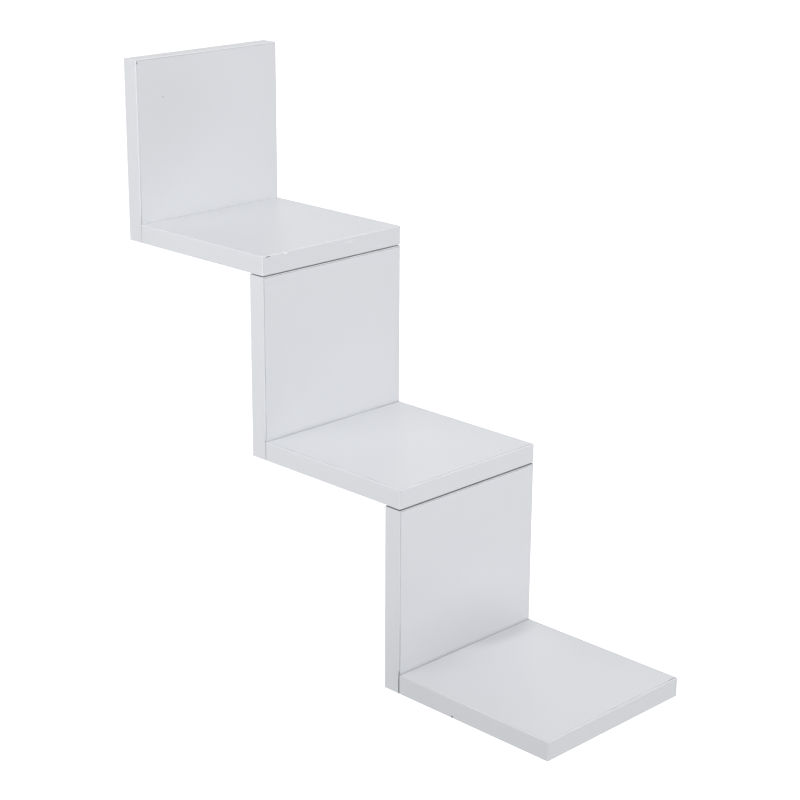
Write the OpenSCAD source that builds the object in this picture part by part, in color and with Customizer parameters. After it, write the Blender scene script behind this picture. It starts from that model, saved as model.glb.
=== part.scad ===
// Zigzag wall shelf: three uprights and three shelves of the same square board, stepping down
// to the right. Two cam locks draw each joint tight and two dowels line it up. Each upright
// hangs on a wall screw by a keyhole plate let into its back edge. All sizes in millimetres.
// X runs right along the wall, Y into the wall and Z up. The wall is the plane y = 0, and the
// origin is the middle of the entry hole in the top upright's plate.

/* [Boards] */
// Depth of every board, from the wall to its front edge
shelf_depth = 180; // [150:1:250]
// Length of each shelf, from its joint to its free end
shelf_length = 180; // [150:1:300]
// Height of each upright
upright_height = 180; // [150:1:300]
// Thickness of the boards
board_t = 19; // [16:0.5:22]

/* [Edge bands] */
// Thickness of the edge bands
band_t = 1; // [0.9:0.1:2]
// Radius along the outer corners of the bands
band_r = 0.8; // [0.3:0.1:0.8]
// Width of the glue line between a band and its board
glue_line = 0.15; // [0.05:0.05:0.3]

/* [Joints] */
// Gap between an upright's face and the shelf that butts against it
butt_gap = 0.2; // [0.1:0.1:0.5]
// Gap between a hung upright's head and the shelf above it
seat_gap = 0.8; // [0.1:0.1:0.9]
// Clearance left at the bottom of every blind hole
hole_spare = 0.5; // [0.2:0.1:1]

/* [Dowels] */
// Diameter of the dowels
dowel_d = 8; // [6:0.5:9]
// Length of the dowels
dowel_l = 30; // [25:1:35]
// Length of a dowel that stands in the face of the other board
dowel_in_face = 10; // [8:0.5:12]
// Distance of the dowels from the front and back edges
dowel_inset = 25; // [22:1:35]
// Clearance around a dowel in its hole
dowel_fit = 0.1; // [0.05:0.05:0.3]
// Number of flutes round a dowel
flutes = 12; // [6:1:16]
// Depth of the flutes
flute_depth = 0.4; // [0.2:0.1:0.6]
// Chamfer on the ends of a dowel
dowel_chamfer = 1; // [0.5:0.1:1.5]

/* [Cam locks] */
// Diameter of the bores that hold the cams
cam_bore_d = 15; // [14:0.5:18]
// Clearance around a cam in its bore
cam_fit = 0.1; // [0.05:0.05:0.2]
// Distance of a cam's axis from the end of its board
cam_setback = 24; // [20:1:34]
// Distance of the cams from the front and back edges
cam_inset = 57; // [50:1:65]
// Depth of a cam past the axis of its bolt
cam_reach = 4.5; // [4:0.1:5.5]
// How far a cam's face lies below the face of the board
cam_sunk = 0.2; // [0:0.1:0.5]
// Offset of the cam's chamber, half of how far the lock draws its bolt in
cam_throw = 0.9; // [0.6:0.1:1.2]
// Thinnest wall of the cam, beside the mouth
cam_wall = 1; // [0.8:0.1:1.4]
// How far the neck slot runs on past the locked bolt, in degrees
slot_past = 25; // [10:1:40]
// Clearance of the bolt's head and neck inside the cam
cam_play = 0.25; // [0.1:0.05:0.4]

/* [Cam bolts] */
// Diameter of the ball head
head_d = 7; // [6:0.5:7.5]
// Diameter of the neck behind the head
neck_d = 3.4; // [3:0.1:4.5]
// Diameter of the shank
shank_d = 7; // [5.5:0.5:7.5]
// Diameter of the bore that the shank and the head pass through
bolt_bore_d = 8; // [7.8:0.1:9]
// Core diameter of the thread
thread_d = 4.8; // [4:0.1:5.5]
// Length of the thread
thread_l = 11; // [9:0.5:12]
// Clearance around the thread's core in its hole
thread_fit = 0.1; // [0.05:0.05:0.2]

/* [Hanger plates] */
// Height of the upright's head above the middle of the entry hole
hanger_drop = 40; // [32:1:60]
// Length of a plate
plate_l = 44; // [42:1:50]
// Width of a plate
plate_w = 14; // [12:0.5:14]
// Thickness of a plate
plate_t = 1.5; // [1.4:0.1:2]
// Clearance around a plate in its recess
plate_fit = 0.2; // [0.1:0.05:0.3]
// Diameter of the entry hole
entry_d = 9; // [8:0.5:10]
// Width of the slot that the wall screw rests in
slot_w = 4.5; // [4.3:0.1:5]
// Height of the slot's top end above the entry hole, centre to centre
slot_rise = 9; // [8:0.5:10]
// Clearance of the pocket around the head of the wall screw
pocket_clear = 0.5; // [0.2:0.1:1]
// Depth of the pocket behind the plate
pocket_depth = 8; // [6:0.5:10]

/* [Plate screws] */
// Diameter of the screws
screw_d = 3; // [2.5:0.1:3]
// Length of the screws
screw_l = 16; // [12:1:17]
// Diameter of the countersunk heads
screw_head_d = 5.6; // [5:0.1:5.8]
// Distance between the two screws of a plate
screw_pitch = 34; // [32:0.5:34]
// Clearance around a screw in the plate and in the board
screw_fit = 0.1; // [0.05:0.05:0.2]

/* [Hidden] */
$fn = 48;

// How far every cut runs on past the face that it opens in
over = 0.5;

// From one step of the zigzag to the next
step_x = shelf_length + butt_gap;
step_z = upright_height + seat_gap;

// One step, seen from the middle of its upright's entry hole
half_t = board_t / 2;
head_z = hanger_drop;
foot_z = hanger_drop - upright_height;
joint_x = half_t + butt_gap;
end_x = joint_x + shelf_length;
front_y = -shelf_depth;
band_in = band_t + glue_line;
core_depth = shelf_depth - 2 * band_in;

// Fittings along the depth of a joint
cam_rows = [-cam_inset, front_y + cam_inset];
dowel_rows = [-dowel_inset, front_y + dowel_inset];

// Cam, bolt and dowel, measured along the bolt from the end of the cam's board
cam_r = cam_bore_d / 2 - cam_fit;
cam_top = half_t - cam_sunk;
cam_bore_depth = half_t + cam_reach + hole_spare;
chamber_r = cam_r - cam_throw - cam_wall;
chamber_up = head_d / 2 + cam_play;
ball_z = chamber_r - cam_throw - cam_play - head_d / 2 - cam_setback;
shank_end_z = cam_bore_d / 2 + cam_play - cam_setback;
dowel_bore_d = dowel_d + 2 * dowel_fit;
thread_bore_d = thread_d + 2 * thread_fit;

// Cross recesses, as shares of the head that they are cut in
recess_span = 0.62;
recess_slot = 0.15;
recess_depth = 0.36;

// Pointer on a cam's face, on the side of its mouth, as shares of the cam's radius
mark_from = 0.70;
mark_to = 0.92;
mark_half = 0.13;
mark_depth = 0.4;

// Keyhole plate, from the middle of its entry hole
plate_mid = slot_rise / 2;
plate_end = (plate_l - plate_w) / 2;
screw_heights = [plate_mid - screw_pitch / 2, plate_mid + screw_pitch / 2];
screw_cone = (screw_head_d - screw_d) / 2;
screw_rim = 0.1;
screw_tip = 3;
pilot_depth = screw_l + hole_spare;

laminate_white = [0.90, 0.91, 0.93];
band_white = [0.94, 0.94, 0.96];
zinc_grey = [0.60, 0.61, 0.63];
steel_grey = [0.72, 0.73, 0.74];
beech = [0.80, 0.65, 0.46];

// Puts its children at step i, counted from the top
module at_step(i) {
    translate([i * step_x, 0, -i * step_z]) children();
}

// Frame of the joint at a shelf's left end. Z runs along the bolts into the upright, and the
// cams open towards -X, which is the shelf's underside.
module at_side_joint() {
    translate([joint_x, 0, foot_z + half_t]) rotate([0, -90, 0]) children();
}

// Frame of the joint at a hung upright's head. Z runs along the bolts into the shelf above,
// and the cams open towards -X, which is the upright's left face.
module at_head_joint() {
    translate([0, 0, head_z]) children();
}

// What a joint takes out of the board that holds its cams
module cam_board_holes() {
    for (y = cam_rows) translate([0, y, -cam_setback]) {
        translate([-half_t - over, 0, 0]) rotate([0, 90, 0])
            cylinder(d = cam_bore_d, h = cam_bore_depth + over);
        cylinder(d = bolt_bore_d, h = cam_setback + over);
    }
    dowel_end = dowel_l - dowel_in_face + hole_spare;
    for (y = dowel_rows) translate([0, y, -dowel_end])
        cylinder(d = dowel_bore_d, h = dowel_end + over);
}

// What a joint takes out of the face of the other board, which lies past the gap
module bolt_board_holes(gap) {
    for (y = cam_rows) translate([0, y, gap - over])
        cylinder(d = thread_bore_d, h = thread_l + hole_spare + over);
    for (y = dowel_rows) translate([0, y, gap - over])
        cylinder(d = dowel_bore_d, h = dowel_in_face + hole_spare + over);
}

// Straight outline with both ends round, between two heights
module round_slot(width, low, high) {
    for (z = [low, high]) translate([0, z]) circle(d = width);
    translate([-width / 2, low]) square([width, high - low]);
}

// Extrudes an outline drawn in the wall plane into the board
module into_board(depth) {
    rotate([90, 0, 0]) linear_extrude(depth) children();
}

module plate_outline(clearance) {
    round_slot(plate_w + 2 * clearance, plate_mid - plate_end, plate_mid + plate_end);
}

// What a hanger takes out of the back edge: the recess of the plate, the pocket for the head
// of the wall screw and the pilot holes
module hanger_recess() {
    translate([0, over, 0]) into_board(plate_t + over) plate_outline(plate_fit);
    into_board(pocket_depth + plate_t)
        round_slot(entry_d + 2 * pocket_clear, 0, slot_rise);
    for (z = screw_heights)
        into_board(pilot_depth) translate([0, z]) circle(d = screw_d + 2 * screw_fit);
}

module upright_board(hung) {
    difference() {
        translate([-half_t, front_y + band_in, foot_z + band_in])
            cube([board_t, core_depth, upright_height - 2 * band_in]);
        at_side_joint() bolt_board_holes(butt_gap);
        if (hung) at_head_joint() cam_board_holes();
        hanger_recess();
    }
}

module shelf_board(carries_upright) {
    difference() {
        translate([joint_x + band_in, front_y + band_in, foot_z])
            cube([shelf_length - 2 * band_in, core_depth, board_t]);
        at_side_joint() cam_board_holes();
        if (carries_upright) at_step(1) at_head_joint() bolt_board_holes(seat_gap);
    }
}

// Rectangle with its corners rounded as the bands are
module round_rect(length, width) {
    translate([band_r, 0]) square([length - 2 * band_r, width]);
    translate([0, band_r]) square([length, width - 2 * band_r]);
    for (x = [band_r, length - band_r], y = [band_r, width - band_r])
        translate([x, y]) circle(r = band_r);
}

// Outline of a band seen from its long edge: glued at y = 0, with its outer corners round
module band_outline(length) {
    intersection() {
        translate([0, band_t - board_t]) round_rect(length, board_t);
        square([length, band_t]);
    }
}

// Band along X, glued at y = 0, as wide as the board is thick, with its long edges rounded.
// It ends square, between two other bands.
module short_band(length) {
    translate([0, 0, board_t]) rotate([0, 90, 0]) linear_extrude(length) band_outline(board_t);
}

// Band that runs over the ends of the short ones, so that its own ends are rounded as well
module long_band(length) {
    intersection() {
        short_band(length);
        linear_extrude(board_t) band_outline(length);
        translate([0, band_t, 0]) rotate([90, 0, 0]) linear_extrude(band_t)
            round_rect(length, board_t);
    }
}

module upright_front_band() {
    translate([-half_t, front_y + band_t, foot_z]) rotate([0, -90, 180])
        long_band(upright_height);
}

module upright_back_band() {
    difference() {
        translate([half_t, -band_t, foot_z]) rotate([0, -90, 0]) long_band(upright_height);
        hanger_recess();
    }
}

module shelf_front_band() {
    translate([joint_x, front_y + band_t, foot_z + board_t]) rotate([180, 0, 0])
        long_band(shelf_length);
}

module shelf_back_band() {
    translate([joint_x, -band_t, foot_z]) long_band(shelf_length);
}

module upright_head_band(hung) {
    difference() {
        translate([half_t, -band_in, head_z - band_t]) rotate([0, -90, 0])
            rotate([0, 0, -90]) short_band(core_depth);
        if (hung) at_head_joint() cam_board_holes();
    }
}

module upright_foot_band() {
    translate([-half_t, -band_in, foot_z + band_t]) rotate([0, 90, 0]) rotate([0, 0, -90])
        short_band(core_depth);
}

// Band on a shelf's left end, drilled through for the bolts and dowels
module shelf_joint_band() {
    difference() {
        translate([joint_x + band_t, front_y + band_in, foot_z]) rotate([0, 0, 90])
            short_band(core_depth);
        at_side_joint() cam_board_holes();
    }
}

module shelf_end_band() {
    translate([end_x - band_t, -band_in, foot_z]) rotate([0, 0, -90]) short_band(core_depth);
}

// Cross recess, cut down from z = 0 into a head of the diameter given
module cross_recess(across) {
    span = recess_span * across;
    slot = recess_slot * across;
    depth = recess_depth * across;
    intersection() {
        for (a = [0, 90]) rotate([0, 0, a]) translate([-span, -slot / 2, -depth])
            cube([2 * span, slot, depth + over]);
        translate([0, 0, -depth])
            cylinder(d1 = slot, d2 = span + (span - slot) * over / depth, h = depth + over);
    }
}

// Cam, turned to its locked place: its axis is Z, its outer face is up, the bolt comes in
// along +X at z = 0, and the mouth that let the head in has turned away to -X
module cam() {
    difference() {
        translate([0, 0, -cam_reach]) cylinder(r = cam_r, h = cam_top + cam_reach);
        translate([-cam_throw, 0, -cam_reach - over])
            cylinder(r = chamber_r, h = chamber_up + cam_reach + over);
        rotate([0, -90, 0]) cylinder(d = head_d + 2 * cam_play, h = cam_r + over);
        rotate([0, 0, -slot_past]) rotate_extrude(angle = 180 + slot_past)
            translate([cam_throw, -neck_d / 2 - cam_play])
                square([cam_r - cam_throw + over, neck_d + 2 * cam_play]);
        translate([0, 0, cam_top]) cross_recess(cam_r);
        translate([0, 0, cam_top - mark_depth]) linear_extrude(mark_depth + over)
            scale(cam_r) polygon([[-mark_to, 0], [-mark_from, -mark_half], [-mark_from, mark_half]]);
    }
}

module joint_cams() {
    for (y = cam_rows) translate([0, y, -cam_setback]) rotate([0, -90, 0]) cam();
}

// Bolt along Z: the thread stands in the face past the gap, and the ball head lies behind
// the thick side of the cam's wall
module cam_bolt(gap) {
    thread_tip = thread_d / 8;
    difference() {
        union() {
            rotate_extrude() polygon([
                [0, ball_z],
                [neck_d / 2, ball_z],
                [neck_d / 2, shank_end_z],
                [shank_d / 2 - thread_tip, shank_end_z],
                [shank_d / 2, shank_end_z + thread_tip],
                [shank_d / 2, gap],
                [thread_d / 2, gap],
                [thread_d / 2, gap + thread_l - thread_tip],
                [thread_d / 2 - thread_tip, gap + thread_l],
                [0, gap + thread_l]
            ]);
            translate([0, 0, ball_z]) sphere(d = head_d);
        }
        translate([0, 0, ball_z - head_d / 2]) rotate([180, 0, 0]) cross_recess(head_d);
    }
}

module joint_bolts(gap) {
    for (y = cam_rows) translate([0, y, 0]) cam_bolt(gap);
}

module dowel() {
    radius = dowel_d / 2;
    flute_r = 2 * flute_depth;
    intersection() {
        linear_extrude(dowel_l) difference() {
            circle(r = radius);
            for (i = [0:flutes - 1]) rotate(i * 360 / flutes)
                translate([radius + flute_r - flute_depth, 0]) circle(r = flute_r);
        }
        rotate_extrude() polygon([
            [0, 0],
            [radius - dowel_chamfer, 0],
            [radius + over, dowel_chamfer + over],
            [radius + over, dowel_l - dowel_chamfer - over],
            [radius - dowel_chamfer, dowel_l],
            [0, dowel_l]
        ]);
    }
}

module joint_dowels(gap) {
    for (y = dowel_rows) translate([0, y, gap + dowel_in_face - dowel_l]) dowel();
}

// Countersunk hole through the plate, drilled from the wall side
module plate_screw_hole() {
    wide = screw_head_d / 2 + screw_fit;
    narrow = screw_d / 2 + screw_fit;
    rotate([90, 0, 0]) rotate_extrude() polygon([
        [0, -over],
        [wide, -over],
        [wide, screw_rim],
        [narrow, screw_rim + screw_cone],
        [narrow, plate_t + over],
        [0, plate_t + over]
    ]);
}

module hanger_plate() {
    difference() {
        into_board(plate_t) plate_outline(0);
        translate([0, over, 0]) into_board(plate_t + 2 * over) {
            circle(d = entry_d);
            round_slot(slot_w, 0, slot_rise);
        }
        for (z = screw_heights) translate([0, 0, z]) plate_screw_hole();
    }
}

module plate_screw() {
    rotate([90, 0, 0]) difference() {
        rotate_extrude() polygon([
            [0, 0],
            [screw_head_d / 2, 0],
            [screw_head_d / 2, screw_rim],
            [screw_d / 2, screw_rim + screw_cone],
            [screw_d / 2, screw_l - screw_tip],
            [screw_d / 10, screw_l],
            [0, screw_l]
        ]);
        rotate([180, 0, 0]) cross_recess(screw_head_d);
    }
}

module hanger_screws() {
    for (z = screw_heights) translate([0, 0, z]) plate_screw();
}

module top_upright() { color(laminate_white) at_step(0) upright_board(false); }
module middle_upright() { color(laminate_white) at_step(1) upright_board(true); }
module lower_upright() { color(laminate_white) at_step(2) upright_board(true); }
module upper_shelf() { color(laminate_white) at_step(0) shelf_board(true); }
module middle_shelf() { color(laminate_white) at_step(1) shelf_board(true); }
module lower_shelf() { color(laminate_white) at_step(2) shelf_board(false); }

module top_upright_front_band() { color(band_white) at_step(0) upright_front_band(); }
module middle_upright_front_band() { color(band_white) at_step(1) upright_front_band(); }
module lower_upright_front_band() { color(band_white) at_step(2) upright_front_band(); }
module upper_shelf_front_band() { color(band_white) at_step(0) shelf_front_band(); }
module middle_shelf_front_band() { color(band_white) at_step(1) shelf_front_band(); }
module lower_shelf_front_band() { color(band_white) at_step(2) shelf_front_band(); }

module top_upright_back_band() { color(band_white) at_step(0) upright_back_band(); }
module middle_upright_back_band() { color(band_white) at_step(1) upright_back_band(); }
module lower_upright_back_band() { color(band_white) at_step(2) upright_back_band(); }
module upper_shelf_back_band() { color(band_white) at_step(0) shelf_back_band(); }
module middle_shelf_back_band() { color(band_white) at_step(1) shelf_back_band(); }
module lower_shelf_back_band() { color(band_white) at_step(2) shelf_back_band(); }

module top_upright_head_band() { color(band_white) at_step(0) upright_head_band(false); }
module middle_upright_head_band() { color(band_white) at_step(1) upright_head_band(true); }
module lower_upright_head_band() { color(band_white) at_step(2) upright_head_band(true); }
module top_upright_foot_band() { color(band_white) at_step(0) upright_foot_band(); }
module middle_upright_foot_band() { color(band_white) at_step(1) upright_foot_band(); }
module lower_upright_foot_band() { color(band_white) at_step(2) upright_foot_band(); }
module upper_shelf_joint_band() { color(band_white) at_step(0) shelf_joint_band(); }
module middle_shelf_joint_band() { color(band_white) at_step(1) shelf_joint_band(); }
module lower_shelf_joint_band() { color(band_white) at_step(2) shelf_joint_band(); }
module upper_shelf_end_band() { color(band_white) at_step(0) shelf_end_band(); }
module middle_shelf_end_band() { color(band_white) at_step(1) shelf_end_band(); }
module lower_shelf_end_band() { color(band_white) at_step(2) shelf_end_band(); }

module upper_shelf_cams() { color(zinc_grey) at_step(0) at_side_joint() joint_cams(); }
module middle_upright_cams() { color(zinc_grey) at_step(1) at_head_joint() joint_cams(); }
module middle_shelf_cams() { color(zinc_grey) at_step(1) at_side_joint() joint_cams(); }
module lower_upright_cams() { color(zinc_grey) at_step(2) at_head_joint() joint_cams(); }
module lower_shelf_cams() { color(zinc_grey) at_step(2) at_side_joint() joint_cams(); }

module upper_shelf_cam_bolts() {
    color(steel_grey) at_step(0) at_side_joint() joint_bolts(butt_gap);
}
module middle_upright_cam_bolts() {
    color(steel_grey) at_step(1) at_head_joint() joint_bolts(seat_gap);
}
module middle_shelf_cam_bolts() {
    color(steel_grey) at_step(1) at_side_joint() joint_bolts(butt_gap);
}
module lower_upright_cam_bolts() {
    color(steel_grey) at_step(2) at_head_joint() joint_bolts(seat_gap);
}
module lower_shelf_cam_bolts() {
    color(steel_grey) at_step(2) at_side_joint() joint_bolts(butt_gap);
}

module upper_shelf_dowels() { color(beech) at_step(0) at_side_joint() joint_dowels(butt_gap); }
module middle_upright_dowels() { color(beech) at_step(1) at_head_joint() joint_dowels(seat_gap); }
module middle_shelf_dowels() { color(beech) at_step(1) at_side_joint() joint_dowels(butt_gap); }
module lower_upright_dowels() { color(beech) at_step(2) at_head_joint() joint_dowels(seat_gap); }
module lower_shelf_dowels() { color(beech) at_step(2) at_side_joint() joint_dowels(butt_gap); }

module top_hanger_plate() { color(steel_grey) at_step(0) hanger_plate(); }
module middle_hanger_plate() { color(steel_grey) at_step(1) hanger_plate(); }
module lower_hanger_plate() { color(steel_grey) at_step(2) hanger_plate(); }
module top_hanger_screws() { color(steel_grey) at_step(0) hanger_screws(); }
module middle_hanger_screws() { color(steel_grey) at_step(1) hanger_screws(); }
module lower_hanger_screws() { color(steel_grey) at_step(2) hanger_screws(); }

top_upright();
middle_upright();
lower_upright();
upper_shelf();
middle_shelf();
lower_shelf();
top_upright_front_band();
middle_upright_front_band();
lower_upright_front_band();
upper_shelf_front_band();
middle_shelf_front_band();
lower_shelf_front_band();
top_upright_back_band();
middle_upright_back_band();
lower_upright_back_band();
upper_shelf_back_band();
middle_shelf_back_band();
lower_shelf_back_band();
top_upright_head_band();
middle_upright_head_band();
lower_upright_head_band();
top_upright_foot_band();
middle_upright_foot_band();
lower_upright_foot_band();
upper_shelf_joint_band();
middle_shelf_joint_band();
lower_shelf_joint_band();
upper_shelf_end_band();
middle_shelf_end_band();
lower_shelf_end_band();
upper_shelf_cams();
middle_upright_cams();
middle_shelf_cams();
lower_upright_cams();
lower_shelf_cams();
upper_shelf_cam_bolts();
middle_upright_cam_bolts();
middle_shelf_cam_bolts();
lower_upright_cam_bolts();
lower_shelf_cam_bolts();
upper_shelf_dowels();
middle_upright_dowels();
middle_shelf_dowels();
lower_upright_dowels();
lower_shelf_dowels();
top_hanger_plate();
middle_hanger_plate();
lower_hanger_plate();
top_hanger_screws();
middle_hanger_screws();
lower_hanger_screws();
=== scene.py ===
# Zigzag wall shelf: white laminate boards with edge bands, cam-locked and hung on keyhole plates
import math
import bpy
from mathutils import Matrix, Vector


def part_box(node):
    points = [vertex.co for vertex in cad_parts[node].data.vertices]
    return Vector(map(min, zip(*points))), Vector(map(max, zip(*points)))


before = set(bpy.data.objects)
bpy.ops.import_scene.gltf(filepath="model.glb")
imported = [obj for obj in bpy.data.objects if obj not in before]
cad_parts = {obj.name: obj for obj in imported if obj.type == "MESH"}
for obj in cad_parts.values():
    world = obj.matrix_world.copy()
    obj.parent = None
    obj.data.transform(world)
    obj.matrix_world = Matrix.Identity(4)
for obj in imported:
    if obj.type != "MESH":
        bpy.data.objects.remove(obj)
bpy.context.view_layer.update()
print("frame loaded:", len(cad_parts), "nodes")

mm = 0.001


# Small helpers for node trees

def addNode(tree, kind, sockets=None, **settings):
    made = tree.nodes.new("ShaderNode" + kind)
    for name, value in settings.items():
        setattr(made, name, value)
    for name, value in (sockets or {}).items():
        feed(tree, made.inputs[name], value)
    return made


def feed(tree, socket, value):
    if isinstance(value, bpy.types.NodeSocket):
        tree.links.new(value, socket)
    else:
        socket.default_value = value


def calc(tree, operation, a, b=0.0, c=0.0, clamp=False):
    return addNode(tree, "Math", {0: a, 1: b, 2: c}, operation=operation, use_clamp=clamp).outputs[0]


def calcVector(tree, operation, a, b=(0.0, 0.0, 0.0)):
    made = addNode(tree, "VectorMath", {0: a, 1: b}, operation=operation)
    return made.outputs["Value"] if operation in ("DOT_PRODUCT", "LENGTH") else made.outputs[0]


def remap(tree, value, fromLow, fromHigh, toLow=0.0, toHigh=1.0, soft=False):
    made = addNode(tree, "MapRange", {0: value, 1: fromLow, 2: fromHigh, 3: toLow, 4: toHigh})
    made.interpolation_type = "SMOOTHSTEP" if soft else "LINEAR"
    return made.outputs[0]


def mixColour(tree, share, a, b):
    made = addNode(tree, "Mix", data_type="RGBA")      # its colour sockets are 6 and 7, and out 2
    for socket, value in zip((made.inputs[0], made.inputs[6], made.inputs[7]), (share, a, b)):
        feed(tree, socket, value)
    return made.outputs[2]


def noise(tree, place, scale, detail, roughness=0.5):
    sockets = {"Vector": place, "Scale": scale, "Detail": detail, "Roughness": roughness}
    return addNode(tree, "TexNoise", sockets).outputs["Fac"]


def newGroup(name, inputs, outputs):
    tree = bpy.data.node_groups.new(name, "ShaderNodeTree")
    for label, kind, value in inputs:
        socket = tree.interface.new_socket(label, in_out="INPUT", socket_type="NodeSocket" + kind)
        if value is not None:
            socket.default_value = value
    for label, kind in outputs:
        tree.interface.new_socket(label, in_out="OUTPUT", socket_type="NodeSocket" + kind)
    return tree, tree.nodes.new("NodeGroupInput").outputs, tree.nodes.new("NodeGroupOutput").inputs


def useGroup(tree, group, **values):
    made = tree.nodes.new("ShaderNodeGroup")
    made.node_tree = group
    for name, value in values.items():
        feed(tree, made.inputs[name], value)
    return made.outputs


def newMaterial(name):
    material = bpy.data.materials.new(name)
    material.use_nodes = True
    tree = material.node_tree
    shader = tree.nodes["Principled BSDF"]
    place = addNode(tree, "TexCoord").outputs["Object"]
    return material, tree, shader, place


def bumpInto(tree, shader, height):
    sockets = {"Height": height, "Distance": 1.0, "Strength": 1.0}      # heights are in metres
    feed(tree, shader.inputs["Normal"], addNode(tree, "Bump", sockets).outputs["Normal"])


# Shared effects. Lengths are in metres, as the coordinates are, and scales are per metre

satinLook = {
    "waveScale": 9.0,
    "waveDetail": 1.0,
    "smudgeScale": 26.0,
    "smudgeDetail": 4.0,
    "smudgeRoughness": 0.6,
    "smudgeFrom": 0.42,        # the noise below this is clean
    "smudgeFull": 0.66,
    "shadeScale": 14.0,
    "shadeDetail": 3.0,
}


def makeSatinSkin():
    tree, given, out = newGroup("satinSkin", [
        ("Place", "Vector", None),
        ("Grain", "Float", 1400.0),           # pearls of the pressed skin
        ("GrainHeight", "Float", 0.0000015),
        ("WaveHeight", "Float", 0.00002),     # how far the board is from dead flat
        ("Smudge", "Float", 0.04),            # handling marks, as a share of roughness
    ], [("Height", "Float"), ("Roughness", "Float"), ("Shade", "Float")])
    pearls = addNode(tree, "TexVoronoi", {"Vector": given["Place"], "Scale": given["Grain"]},
                     feature="SMOOTH_F1").outputs["Distance"]
    waves = noise(tree, given["Place"], satinLook["waveScale"], satinLook["waveDetail"])
    fine = calc(tree, "MULTIPLY", pearls, given["GrainHeight"])
    feed(tree, out["Height"], calc(tree, "MULTIPLY_ADD", waves, given["WaveHeight"], fine))
    wiped = noise(tree, given["Place"], satinLook["smudgeScale"], satinLook["smudgeDetail"],
                  satinLook["smudgeRoughness"])
    wiped = remap(tree, wiped, satinLook["smudgeFrom"], satinLook["smudgeFull"], soft=True)
    feed(tree, out["Roughness"], calc(tree, "MULTIPLY", wiped, given["Smudge"]))
    feed(tree, out["Shade"], noise(tree, given["Place"], satinLook["shadeScale"], satinLook["shadeDetail"]))
    return tree


def makeBoardSkin():
    # 1 on the two faces and 0 in the core, which only the bores and the seams show
    tree, given, out = newGroup("boardSkin", [
        ("Place", "Vector", None),
        ("Across", "Vector", (0.0, 0.0, 1.0)),   # the way through the thickness
        ("Middle", "Float", 0.0),
        ("HalfThickness", "Float", 0.0095),
        ("SkinDepth", "Float", 0.0003),
    ], [("Skin", "Float")])
    along = calcVector(tree, "DOT_PRODUCT", given["Place"], given["Across"])
    fromMiddle = calc(tree, "ABSOLUTE", calc(tree, "SUBTRACT", along, given["Middle"]))
    core = calc(tree, "SUBTRACT", given["HalfThickness"], given["SkinDepth"])
    feed(tree, out["Skin"], calc(tree, "GREATER_THAN", fromMiddle, core))
    return tree


seamLook = {
    "unevenScale": 60.0,
    "unevenDetail": 3.0,
    "unevenNoise": (0.3, 0.7),
    "unevenWidth": (0.55, 1.25),     # as a share of the seam's width
    "wornScale": 22.0,               # the seam fades here and there
    "wornDetail": 2.0,
    "wornNoise": (0.34, 0.56),
    "wornShare": (0.45, 1.0),
    "full": 0.35,                    # the share of its width that is full, before it fades
}


def makeSeamShade():
    # Dust and glue along the edge of the laminate, beside the band
    tree, given, out = newGroup("seamShade", [
        ("Place", "Vector", None),
        ("Low", "Vector", (0.0, 0.0, 0.0)),
        ("High", "Vector", (0.0, 0.0, 0.0)),
        ("Width", "Float", 0.0003),
        ("Strength", "Float", 0.5),
    ], [("Mask", "Float")])
    above = calcVector(tree, "SUBTRACT", given["Place"], given["Low"])
    fromLow = addNode(tree, "SeparateXYZ", {0: above}).outputs
    below = calcVector(tree, "SUBTRACT", given["High"], given["Place"])
    fromHigh = addNode(tree, "SeparateXYZ", {0: below}).outputs
    nearest = fromLow[0]
    for socket in (*fromLow[1:], *fromHigh):
        nearest = calc(tree, "MINIMUM", nearest, socket)
    uneven = noise(tree, given["Place"], seamLook["unevenScale"], seamLook["unevenDetail"])
    uneven = remap(tree, uneven, *seamLook["unevenNoise"], *seamLook["unevenWidth"])
    share = calc(tree, "DIVIDE", nearest, calc(tree, "MULTIPLY", given["Width"], uneven))
    line = calc(tree, "MULTIPLY", remap(tree, share, 1.0, seamLook["full"], soft=True), given["Strength"])
    worn = noise(tree, given["Place"], seamLook["wornScale"], seamLook["wornDetail"])
    worn = remap(tree, worn, *seamLook["wornNoise"], *seamLook["wornShare"])
    feed(tree, out["Mask"], calc(tree, "MULTIPLY", line, worn))
    return tree


edgeLook = {
    "flat": 0.99,         # how square to an axis the normal of a flat face is
    "round": 0.93,        # and that of an edge, well inside its rounding
    "across": 0.2,        # a normal leans less than this along the edge
}


def makeMilledEdge():
    # The rounded edges, where the surface turns away from the axes, and the cutter's ripples on them
    tree, given, out = newGroup("milledEdge", [
        ("Place", "Vector", None),
        ("Normal", "Vector", None),
        ("Pitch", "Float", 0.0018),
        ("Depth", "Float", 0.000004),
    ], [("Mask", "Float"), ("Height", "Float")])
    turns = addNode(tree, "SeparateXYZ", {0: calcVector(tree, "ABSOLUTE", given["Normal"])}).outputs
    squarest = calc(tree, "MAXIMUM", calc(tree, "MAXIMUM", turns[0], turns[1]), turns[2])
    edge = remap(tree, squarest, edgeLook["flat"], edgeLook["round"], soft=True)
    feed(tree, out["Mask"], edge)
    alongAxis = {i: calc(tree, "LESS_THAN", turns[i], edgeLook["across"]) for i in range(3)}
    way = addNode(tree, "CombineXYZ", alongAxis).outputs[0]
    along = calcVector(tree, "DOT_PRODUCT", given["Place"], way)
    perTurn = calc(tree, "DIVIDE", given["Pitch"], 2 * math.pi)
    ripple = calc(tree, "SINE", calc(tree, "DIVIDE", along, perTurn))
    ripple = calc(tree, "MULTIPLY", ripple, edge)
    feed(tree, out["Height"], calc(tree, "MULTIPLY", ripple, given["Depth"]))
    return tree


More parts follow.
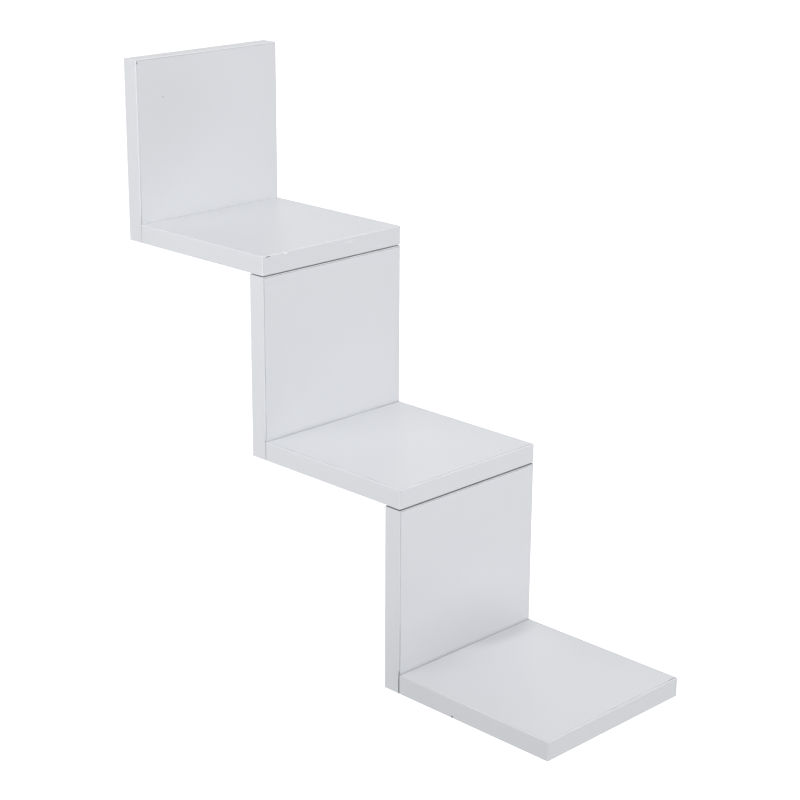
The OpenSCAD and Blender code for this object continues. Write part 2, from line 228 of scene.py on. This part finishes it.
def makeMark():
    # One small mark, such as a chip, a speck or a patch of painted shade or light, in the shape of an
    # ellipsoid
    tree, given, out = newGroup("mark", [
        ("Place", "Vector", None),
        ("Centre", "Vector", (0.0, 0.0, 0.0)),
        ("Size", "Vector", (0.001, 0.001, 0.001)),
        ("Core", "Float", 0.5),               # the share of it that is full, before it fades
    ], [("Mask", "Float")])
    off = calcVector(tree, "SUBTRACT", given["Place"], given["Centre"])
    share = calcVector(tree, "LENGTH", calcVector(tree, "DIVIDE", off, given["Size"]))
    feed(tree, out["Mask"], remap(tree, share, 1.0, given["Core"], soft=True))
    return tree


chipLook = {"dark": (0.30, 0.19, 0.10, 1), "light": (0.62, 0.46, 0.28, 1)}


def makeChips():
    # Pressed wood chips of the core
    tree, given, out = newGroup("chips", [
        ("Place", "Vector", None),
        ("Scale", "Float", 900.0),
    ], [("Colour", "Color")])
    flakes = addNode(tree, "TexVoronoi", {"Vector": given["Place"], "Scale": given["Scale"]})
    pick = addNode(tree, "SeparateColor", {0: flakes.outputs["Color"]}).outputs[0]
    tone = addNode(tree, "ValToRGB", {0: pick})
    tone.color_ramp.elements[0].color = chipLook["dark"]
    tone.color_ramp.elements[1].color = chipLook["light"]
    feed(tree, out["Colour"], tone.outputs["Color"])
    return tree


grainLook = {"streakDetail": 3.0, "streakRoughness": 0.6, "cloudDetail": 3.0}


def makeMetalGrain():
    tree, given, out = newGroup("metalGrain", [
        ("Place", "Vector", None),
        ("Stretch", "Vector", (1.0, 1.0, 1.0)),   # 1 across the grain, less along it
        ("Scale", "Float", 2500.0),
        ("Height", "Float", 0.000002),
        ("Patches", "Float", 120.0),              # clouds in the plating
    ], [("Height", "Float"), ("Streaks", "Float"), ("Clouds", "Float")])
    stretched = calcVector(tree, "MULTIPLY", given["Place"], given["Stretch"])
    streaks = noise(tree, stretched, given["Scale"], grainLook["streakDetail"],
                    grainLook["streakRoughness"])
    feed(tree, out["Height"], calc(tree, "MULTIPLY", streaks, given["Height"]))
    feed(tree, out["Streaks"], streaks)
    feed(tree, out["Clouds"], noise(tree, given["Place"], given["Patches"], grainLook["cloudDetail"]))
    return tree


satinSkin = makeSatinSkin()
boardSkin = makeBoardSkin()
seamShade = makeSeamShade()
milledEdge = makeMilledEdge()
mark = makeMark()
chips = makeChips()
metalGrain = makeMetalGrain()
print("shared effects built")


# Small marks: specks, chipped edges and dark seams, soft patches of painted shade and painted light,
# painted shade in the joints, gaps and inner corners, and one painted glint.
# Each is at a share of its piece's box along X, Y and Z, 0 at the low side and 1 at the high side, and
# off from there in mm. Its reach is in mm too, and its core is the share of it that is full

marks = {
    # painted shade: the top upright's face a little darker high up near its front
    "shadedFace": {"on": "top_upright", "at": (1, 0.12, 0.73),
                 "reach": (1, 110, 95), "grey": 0.732, "core": 0.2},
    # painted shade: the lower upright's front darker towards its foot
    "shadedFront": {"on": "lower_upright_front_band", "at": (1, 0, 0), "off": (25, 0, 9),
                  "reach": (90, 20, 110), "grey": 0.70, "core": 0},
    # painted shade: the lower shelf's top darker towards its front left
    "shadedTop": {"on": "lower_shelf", "at": (0.2, 0, 1),
                "reach": (300, 150, 1), "grey": 0.69, "core": 0},
    # painted light: the lower shelf's top lighter towards its back, by the upright
    "litTop": {"on": "lower_shelf", "at": (0, 0.75, 1),
                 "reach": (100, 110, 1), "grey": 0.79, "core": 0},
    # painted shade along the lower shelf's inner corner, towards the back
    "shadedCorner": {"on": "lower_shelf", "at": (0, 0.78, 1),
                     "reach": (24, 64, 1), "grey": 0.66, "core": 0.3},
    "faceSpeck": {"on": "top_upright", "at": (1, 0, 1), "off": (0, 31.2, -37.8),
                  "reach": (1, 0.8, 1.2), "grey": 0.40},
    "seamDot": {"on": "top_upright", "at": (1, 0, 1), "off": (0, 0.3, -2),
                "reach": (1, 0.8, 1.5), "grey": 0.15},
    "endDash": {"on": "upper_shelf_end_band", "at": (1, 0, 1), "off": (0, 5.6, -1.2),
                "reach": (1, 4.2, 0.8), "grey": 0.30},
    # a chip on the upper shelf's end band, with a painted bright glint on it
    "endChipGlint": {"on": "upper_shelf_end_band", "at": (1, 0, 1), "off": (0, 27.5, -1.8),
                "reach": (1, 3, 0.9), "grey": 0.97},
    "endScuff": {"on": "upper_shelf_end_band", "at": (1, 0, 1), "off": (0, 109, -4.6),
                 "reach": (1, 8, 1.2), "grey": 0.84},
    "topSpeck": {"on": "middle_shelf", "at": (1, 1, 1), "off": (-8.4, -34.8, 0),
                 "reach": (1, 1.2, 1), "grey": 0.45},
    "endDirt": {"on": "lower_shelf", "at": (1, 1, 1), "off": (0, -6, 0),
                "reach": (0.9, 8, 1), "grey": 0.15},
    "frontDot": {"on": "lower_shelf_front_band", "at": (0, 0, 0), "off": (67.2, 0, 1.7),
                 "reach": (1.4, 1, 1.2), "grey": 0.12},
    # painted shade in the butt joints at the left ends of the shelves' front bands
    "upperJoint": {"on": "upper_shelf_front_band", "at": (0, 0, 0.5), "off": (-0.1, 0, 0),
                   "reach": (0.6, 1.4, 30), "grey": 0.52},
    "middleJoint": {"on": "middle_shelf_front_band", "at": (0, 0, 0.5), "off": (-0.1, 0, 0),
                    "reach": (0.6, 1.4, 30), "grey": 0.50},
    "lowerJoint": {"on": "lower_shelf_front_band", "at": (0, 0, 0.5), "off": (-0.1, 0, 0),
                   "reach": (0.75, 1.4, 18), "grey": 0.08, "core": 0.75},
    # painted shadow in the gaps under the upper and middle shelves, on the heads of the uprights
    "upperGap": {"on": "middle_upright_head_band", "at": (0.5, 0.5, 1),
                 "reach": (40, 400, 0.3), "grey": 0.35},
    "middleGap": {"on": "lower_upright_head_band", "at": (0.5, 0.5, 1),
                  "reach": (40, 400, 0.5), "grey": 0.25},
    # painted shade in the grooves of the middle and lower inner corners
    "middleCorner": {"on": "middle_shelf_joint_band", "at": (0, 0.5, 1), "off": (-0.1, 0, 0),
                     "reach": (1.4, 400, 1.2), "grey": 0.50},
    "lowerCorner": {"on": "lower_shelf_joint_band", "at": (0, 0.5, 1), "off": (-0.1, 0, 0),
                    "reach": (1.6, 400, 1.4), "grey": 0.42},
    "lowerCornerShade": {"on": "lower_upright", "at": (1, 0.45, 0), "off": (0, 0, 16),
                         "reach": (2, 160, 72), "grey": 0.685, "core": 0},
    "lowerSeam": {"on": "lower_upright", "at": (1, 0, 0), "off": (0, 0, 45),
                  "reach": (1, 0.8, 42), "grey": 0.36},
    "cleanSeam": {"on": "top_upright", "at": (1, 0.75, 1), "off": (0, 0, -0.2),
                  "reach": (1, 110, 1), "grey": 0.75},
}
markTint = (0.988, 0.996, 1.016)      # each grey leans the way of the white under it
markCore = 0.5                        # where a mark gives none


def addMarks(tree, place, names, colour):
    # in the order of the list, so that a later one lies on those before it
    for each in marks.values():
        if each["on"] in names:
            low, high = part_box(each["on"])
            off = each.get("off", (0, 0, 0))
            centre = [a + (b - a) * share + shift * mm
                      for a, b, share, shift in zip(low, high, each["at"], off)]
            spot = useGroup(tree, mark, Place=place, Centre=centre, Size=Vector(each["reach"]) * mm,
                            Core=each.get("core", markCore))
            tint = (*(each["grey"] * part for part in markTint), 1)
            colour = mixColour(tree, spot["Mask"], colour, tint)
    return colour


# Boards: satin white laminate over pressed chips

board = {
    "thickness": 19 * mm,
    "colour": (0.761, 0.767, 0.783, 1),
    "shadow": (0.747, 0.755, 0.772, 1),    # the other end of its slight unevenness
    "roughness": 0.34,
    "coreRoughness": 0.5,                  # how much rougher the chips are
    "seam": (0.16, 0.16, 0.17, 1),
    "seamWidth": {"top_upright": 0.34, "middle_upright": 0.34, "lower_upright": 0.42,      # mm
                  "upper_shelf": 0.34, "middle_shelf": 0.60, "lower_shelf": 0.60},
    "seamStrength": {"top_upright": 0.95, "middle_upright": 0.90, "lower_upright": 0.80,
                     "upper_shelf": 0.50, "middle_shelf": 0.85, "lower_shelf": 0.75},
    # tone: painted light and shade, a little lighter or darker per board
    "tone": {"middle_upright": 1.02, "lower_upright": 1.04,
             "upper_shelf": 1.015, "lower_shelf": 0.94},
}


def toned(look, part, name):
    # painted light and shade: each board and band a little lighter or darker for how the light falls on it
    return (*(value * look["tone"].get(name, 1.0) for value in look[part][:3]), 1)


def makeBoardMaterial(name, across):
    material, tree, shader, place = newMaterial(name + "Laminate")
    low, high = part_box(name)
    middle = (low + high) / 2
    farOff = Vector(across)                          # keeps the faces themselves out of the seam,
    behind = farOff + Vector((0.0, 1.0, 0.0))        # and the back edge, which nobody touches
    skin = useGroup(tree, boardSkin, Place=place, Across=across, Middle=middle.dot(farOff),
                    HalfThickness=board["thickness"] / 2)
    satin = useGroup(tree, satinSkin, Place=place)
    seam = useGroup(tree, seamShade, Place=place, Low=low - farOff, High=high + behind,
                    Width=board["seamWidth"][name] * mm, Strength=board["seamStrength"][name])
    core = useGroup(tree, chips, Place=place)
    white = mixColour(tree, satin["Shade"], toned(board, "shadow", name), toned(board, "colour", name))
    white = mixColour(tree, seam["Mask"], white, board["seam"])
    white = addMarks(tree, place, [name], white)
    feed(tree, shader.inputs["Base Color"], mixColour(tree, skin["Skin"], core["Colour"], white))
    rough = calc(tree, "ADD", satin["Roughness"], board["roughness"])
    bare = calc(tree, "SUBTRACT", 1.0, skin["Skin"])
    rougher = calc(tree, "MULTIPLY", bare, board["coreRoughness"])
    feed(tree, shader.inputs["Roughness"], calc(tree, "ADD", rough, rougher, clamp=True))
    bumpInto(tree, shader, satin["Height"])
    return material


# Edge bands: the same white in solid plastic, a little smoother

band = {
    "colour": (0.762, 0.767, 0.783, 1),
    "shadow": (0.748, 0.755, 0.772, 1),
    "edgeHighlight": (0.90, 0.905, 0.915, 1),     # painted highlight on the rounded edges, in place of the lamps' glint on them
    # how strong the painted edge highlight is on each board
    "edgeHighlightShare": {"top_upright": 0.7, "middle_upright": 0.35, "lower_upright": 0.35,
                    "upper_shelf": 0.7, "middle_shelf": 0.6, "lower_shelf": 0.5},
    # tone: painted light and shade, a little lighter or darker per board
    "tone": {"top_upright": 0.985, "middle_upright": 1.035, "lower_upright": 1.015,
             "middle_shelf": 1.03, "lower_shelf": 0.95},
    "roughness": 0.30,
    "grain": 1900.0,
    "ripplePitch": 1.8 * mm,
}


def makeBandMaterial(name):
    material, tree, shader, place = newMaterial(name + "BandPlastic")
    satin = useGroup(tree, satinSkin, Place=place, Grain=band["grain"])
    normal = addNode(tree, "NewGeometry").outputs["Normal"]
    edge = useGroup(tree, milledEdge, Place=place, Normal=normal, Pitch=band["ripplePitch"])
    white = mixColour(tree, satin["Shade"], toned(band, "shadow", name), toned(band, "colour", name))
    # painted highlight: the rounded edges made paler, more on some boards than others
    edgeHighlight = calc(tree, "MULTIPLY", edge["Mask"], band["edgeHighlightShare"][name])
    white = mixColour(tree, edgeHighlight, white, band["edgeHighlight"])
    # every band has the marks of all, because the painted shade of a joint lies on both its sides
    bands = [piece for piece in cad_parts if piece.endswith("_band")]
    feed(tree, shader.inputs["Base Color"], addMarks(tree, place, bands, white))
    feed(tree, shader.inputs["Roughness"], calc(tree, "ADD", satin["Roughness"], band["roughness"]))
    bumpInto(tree, shader, calc(tree, "ADD", satin["Height"], edge["Height"]))
    return material


# Fittings: cast zinc cams, plated bolts, screws and plates, and beech dowels

zinc = {
    "light": (0.42, 0.43, 0.44, 1),
    "dark": (0.28, 0.285, 0.29, 1),
    "roughness": 0.45,
    "grain": 1800.0,
    "stretch": (1.0, 1.0, 1.0),
}
plating = {
    "light": (0.45, 0.465, 0.48, 1),
    "dark": (0.30, 0.315, 0.335, 1),
    "roughness": 0.28,
    "grain": 3000.0,
    "stretch": (1.0, 1.0, 0.08),
}
beech = {
    "light": (0.60, 0.40, 0.22, 1),
    "dark": (0.42, 0.25, 0.12, 1),
    "roughness": 0.6,
    "grain": 1500.0,
    "stretch": (0.1, 1.0, 1.0),
}
cloudNoise = (0.35, 0.65)     # from the dark metal to the light one
streakSpread = 0.2            # of the metals' roughness


def makeMetalMaterial(name, look):
    material, tree, shader, place = newMaterial(name)
    grain = useGroup(tree, metalGrain, Place=place, Scale=look["grain"], Stretch=look["stretch"])
    clouds = remap(tree, grain["Clouds"], *cloudNoise)
    feed(tree, shader.inputs["Base Color"], mixColour(tree, clouds, look["dark"], look["light"]))
    smoothest = look["roughness"] - streakSpread / 2
    feed(tree, shader.inputs["Roughness"],
         calc(tree, "MULTIPLY_ADD", grain["Streaks"], streakSpread, smoothest))
    shader.inputs["Metallic"].default_value = 1.0
    bumpInto(tree, shader, grain["Height"])
    return material


def makeBeechMaterial():
    material, tree, shader, place = newMaterial("beechWood")
    grain = useGroup(tree, metalGrain, Place=place, Scale=beech["grain"], Stretch=beech["stretch"])
    wood = mixColour(tree, grain["Streaks"], beech["dark"], beech["light"])
    feed(tree, shader.inputs["Base Color"], wood)
    shader.inputs["Roughness"].default_value = beech["roughness"]
    bumpInto(tree, shader, grain["Height"])
    return material


bandPlastic = {name: makeBandMaterial(name) for name in band["edgeHighlightShare"]}
castZinc = makeMetalMaterial("castZinc", zinc)
platedSteel = makeMetalMaterial("platedSteel", plating)
beechWood = makeBeechMaterial()

for name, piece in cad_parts.items():
    if name.endswith("_upright"):
        finish = makeBoardMaterial(name, (1.0, 0.0, 0.0))
    elif name.endswith("_shelf"):
        finish = makeBoardMaterial(name, (0.0, 0.0, 1.0))
    elif name.endswith("_band"):
        finish = bandPlastic[name.rsplit("_", 2)[0]]      # by the name of its board
    elif name.endswith("_cams"):
        finish = castZinc
    elif name.endswith("_dowels"):
        finish = beechWood
    else:
        finish = platedSteel
    for slot in piece.material_slots:
        slot.material = finish
print("materials placed on every node")


# Stage: a pale floor well below the hung shelf, soft lamps and the photograph's camera

stage = {
    "middle": (0.27, -0.09, -0.23),      # of the shelf, where the lamps point
    "floorZ": -1.5,
    "floorSide": 30.0,
    "floorColour": (0.80, 0.80, 0.80, 1),
    "floorRoughness": 0.9,
    "floorSpecular": 0.1,
    "floorGlow": 0.4,                    # under the shelf, where the floor shows its shadow
    "shadowReach": 0.4,                  # how far round the shelf's middle that is
    "whiteReach": 1.3,                   # and from here on the floor is white
    "white": (1.0, 1.0, 1.0, 1),
    "ambient": (0.99, 1.0, 1.023, 1),
    "ambientStrength": 0.375,
}


def seenDirectly(tree):
    # 1 for the rays that show the background: camera, mirror and glass rays
    path = addNode(tree, "LightPath").outputs
    found = calc(tree, "MAXIMUM", path["Is Camera Ray"], path["Is Glossy Ray"])
    return calc(tree, "MAXIMUM", found, path["Is Transmission Ray"])


def makeFloor():
    half = stage["floorSide"] / 2
    mesh = bpy.data.meshes.new("floor")
    square = ((-half, -half), (half, -half), (half, half), (-half, half))
    mesh.from_pydata([(x, y, stage["floorZ"]) for x, y in square], [], [(0, 1, 2, 3)])
    floor = bpy.data.objects.new("floor", mesh)
    bpy.context.scene.collection.objects.link(floor)
    material, tree, shader, place = newMaterial("paleFloor")
    shader.inputs["Base Color"].default_value = stage["floorColour"]
    shader.inputs["Roughness"].default_value = stage["floorRoughness"]
    shader.inputs["Specular IOR Level"].default_value = stage["floorSpecular"]
    under = (stage["middle"][0], stage["middle"][1], stage["floorZ"])
    distance = calcVector(tree, "LENGTH", calcVector(tree, "SUBTRACT", place, under))
    glow = remap(tree, distance, stage["shadowReach"], stage["whiteReach"], stage["floorGlow"], 1.0,
                 soft=True)
    shader.inputs["Emission Color"].default_value = stage["white"]
    feed(tree, shader.inputs["Emission Strength"], calc(tree, "MULTIPLY", glow, seenDirectly(tree)))
    fromBelow = addNode(tree, "NewGeometry").outputs["Backfacing"]
    cameraRay = addNode(tree, "LightPath").outputs["Is Camera Ray"]
    unseen = calc(tree, "MULTIPLY", fromBelow, cameraRay)      # a camera under the floor looks through it
    feed(tree, shader.inputs["Alpha"], calc(tree, "SUBTRACT", 1.0, unseen))
    mesh.materials.append(material)


def makeWorld():
    world = bpy.data.worlds.new("studio")
    bpy.context.scene.world = world
    world.use_nodes = True
    tree = world.node_tree
    background = tree.nodes["Background"]
    seen = seenDirectly(tree)
    feed(tree, background.inputs["Color"], mixColour(tree, seen, stage["ambient"], stage["white"]))
    feed(tree, background.inputs["Strength"], remap(tree, seen, 0.0, 1.0, stage["ambientStrength"], 1.0))


def aim(thing, place, target):
    thing.location = place
    thing.rotation_euler = (Vector(target) - Vector(place)).to_track_quat("-Z", "Y").to_euler()
    bpy.context.scene.collection.objects.link(thing)


# Soft boxes: degrees round the shelf from straight in front, degrees up, metres away, metres wide and
# watts. Those without gloss light the boards, and don't show in them

lamps = {
    "frontLamp": {"turn": -16.5, "rise": 19, "distance": 1.0, "side": 0.7, "watts": 3.3, "gloss": False},
    "cameraLamp": {"turn": 46, "rise": 35, "distance": 2.2, "side": 1.4, "watts": 13.1, "gloss": False},
    "lowLamp": {"turn": 46, "rise": 0, "distance": 2.2, "side": 1.4, "watts": 3.0, "gloss": True},
    "sideLamp": {"turn": 120, "rise": 25, "distance": 2.2, "side": 1.4, "watts": 16.9, "gloss": False},
    "topLamp": {"turn": 0, "rise": 88, "distance": 2.2, "side": 1.4, "watts": 3.5, "gloss": True},
    "backLamp": {"turn": 188, "rise": 45, "distance": 2.2, "side": 1.4, "watts": 4.6, "gloss": True},
    "leftLamp": {"turn": 262, "rise": -30, "distance": 1.7, "side": 1.0, "watts": 8.0, "gloss": False},
}
lampTint = (0.99, 1.0, 1.023)


def makeLamps():
    middle = Vector(stage["middle"])
    for name, each in lamps.items():
        light = bpy.data.lights.new(name, "AREA")
        light.shape = "SQUARE"
        light.size = each["side"]
        light.energy = each["watts"]
        light.color = lampTint
        lamp = bpy.data.objects.new(name, light)
        lamp.visible_camera = False
        lamp.visible_glossy = each["gloss"]
        turn, rise = math.radians(each["turn"]), math.radians(each["rise"])
        way = Vector((math.sin(turn) * math.cos(rise), -math.cos(turn) * math.cos(rise), math.sin(rise)))
        aim(lamp, middle + way * each["distance"], middle)


camera = {
    "place": (1.5399, -1.3611, 0.3293),
    "target": (0.2553, -0.1186, -0.2584),
    "lens": 90.05,
    "shift": 0.05,      # the photograph is cropped a little off its middle
    "clipEnd": 100.0,
}


def makeCamera():
    data = bpy.data.cameras.new("camera")
    data.lens = camera["lens"]
    data.shift_x = camera["shift"]
    data.clip_end = camera["clipEnd"]
    made = bpy.data.objects.new("camera", data)
    aim(made, camera["place"], camera["target"])
    bpy.context.scene.camera = made


makeFloor()
makeWorld()
makeLamps()
makeCamera()
bpy.context.scene.view_settings.view_transform = "Standard"
print("stage set")
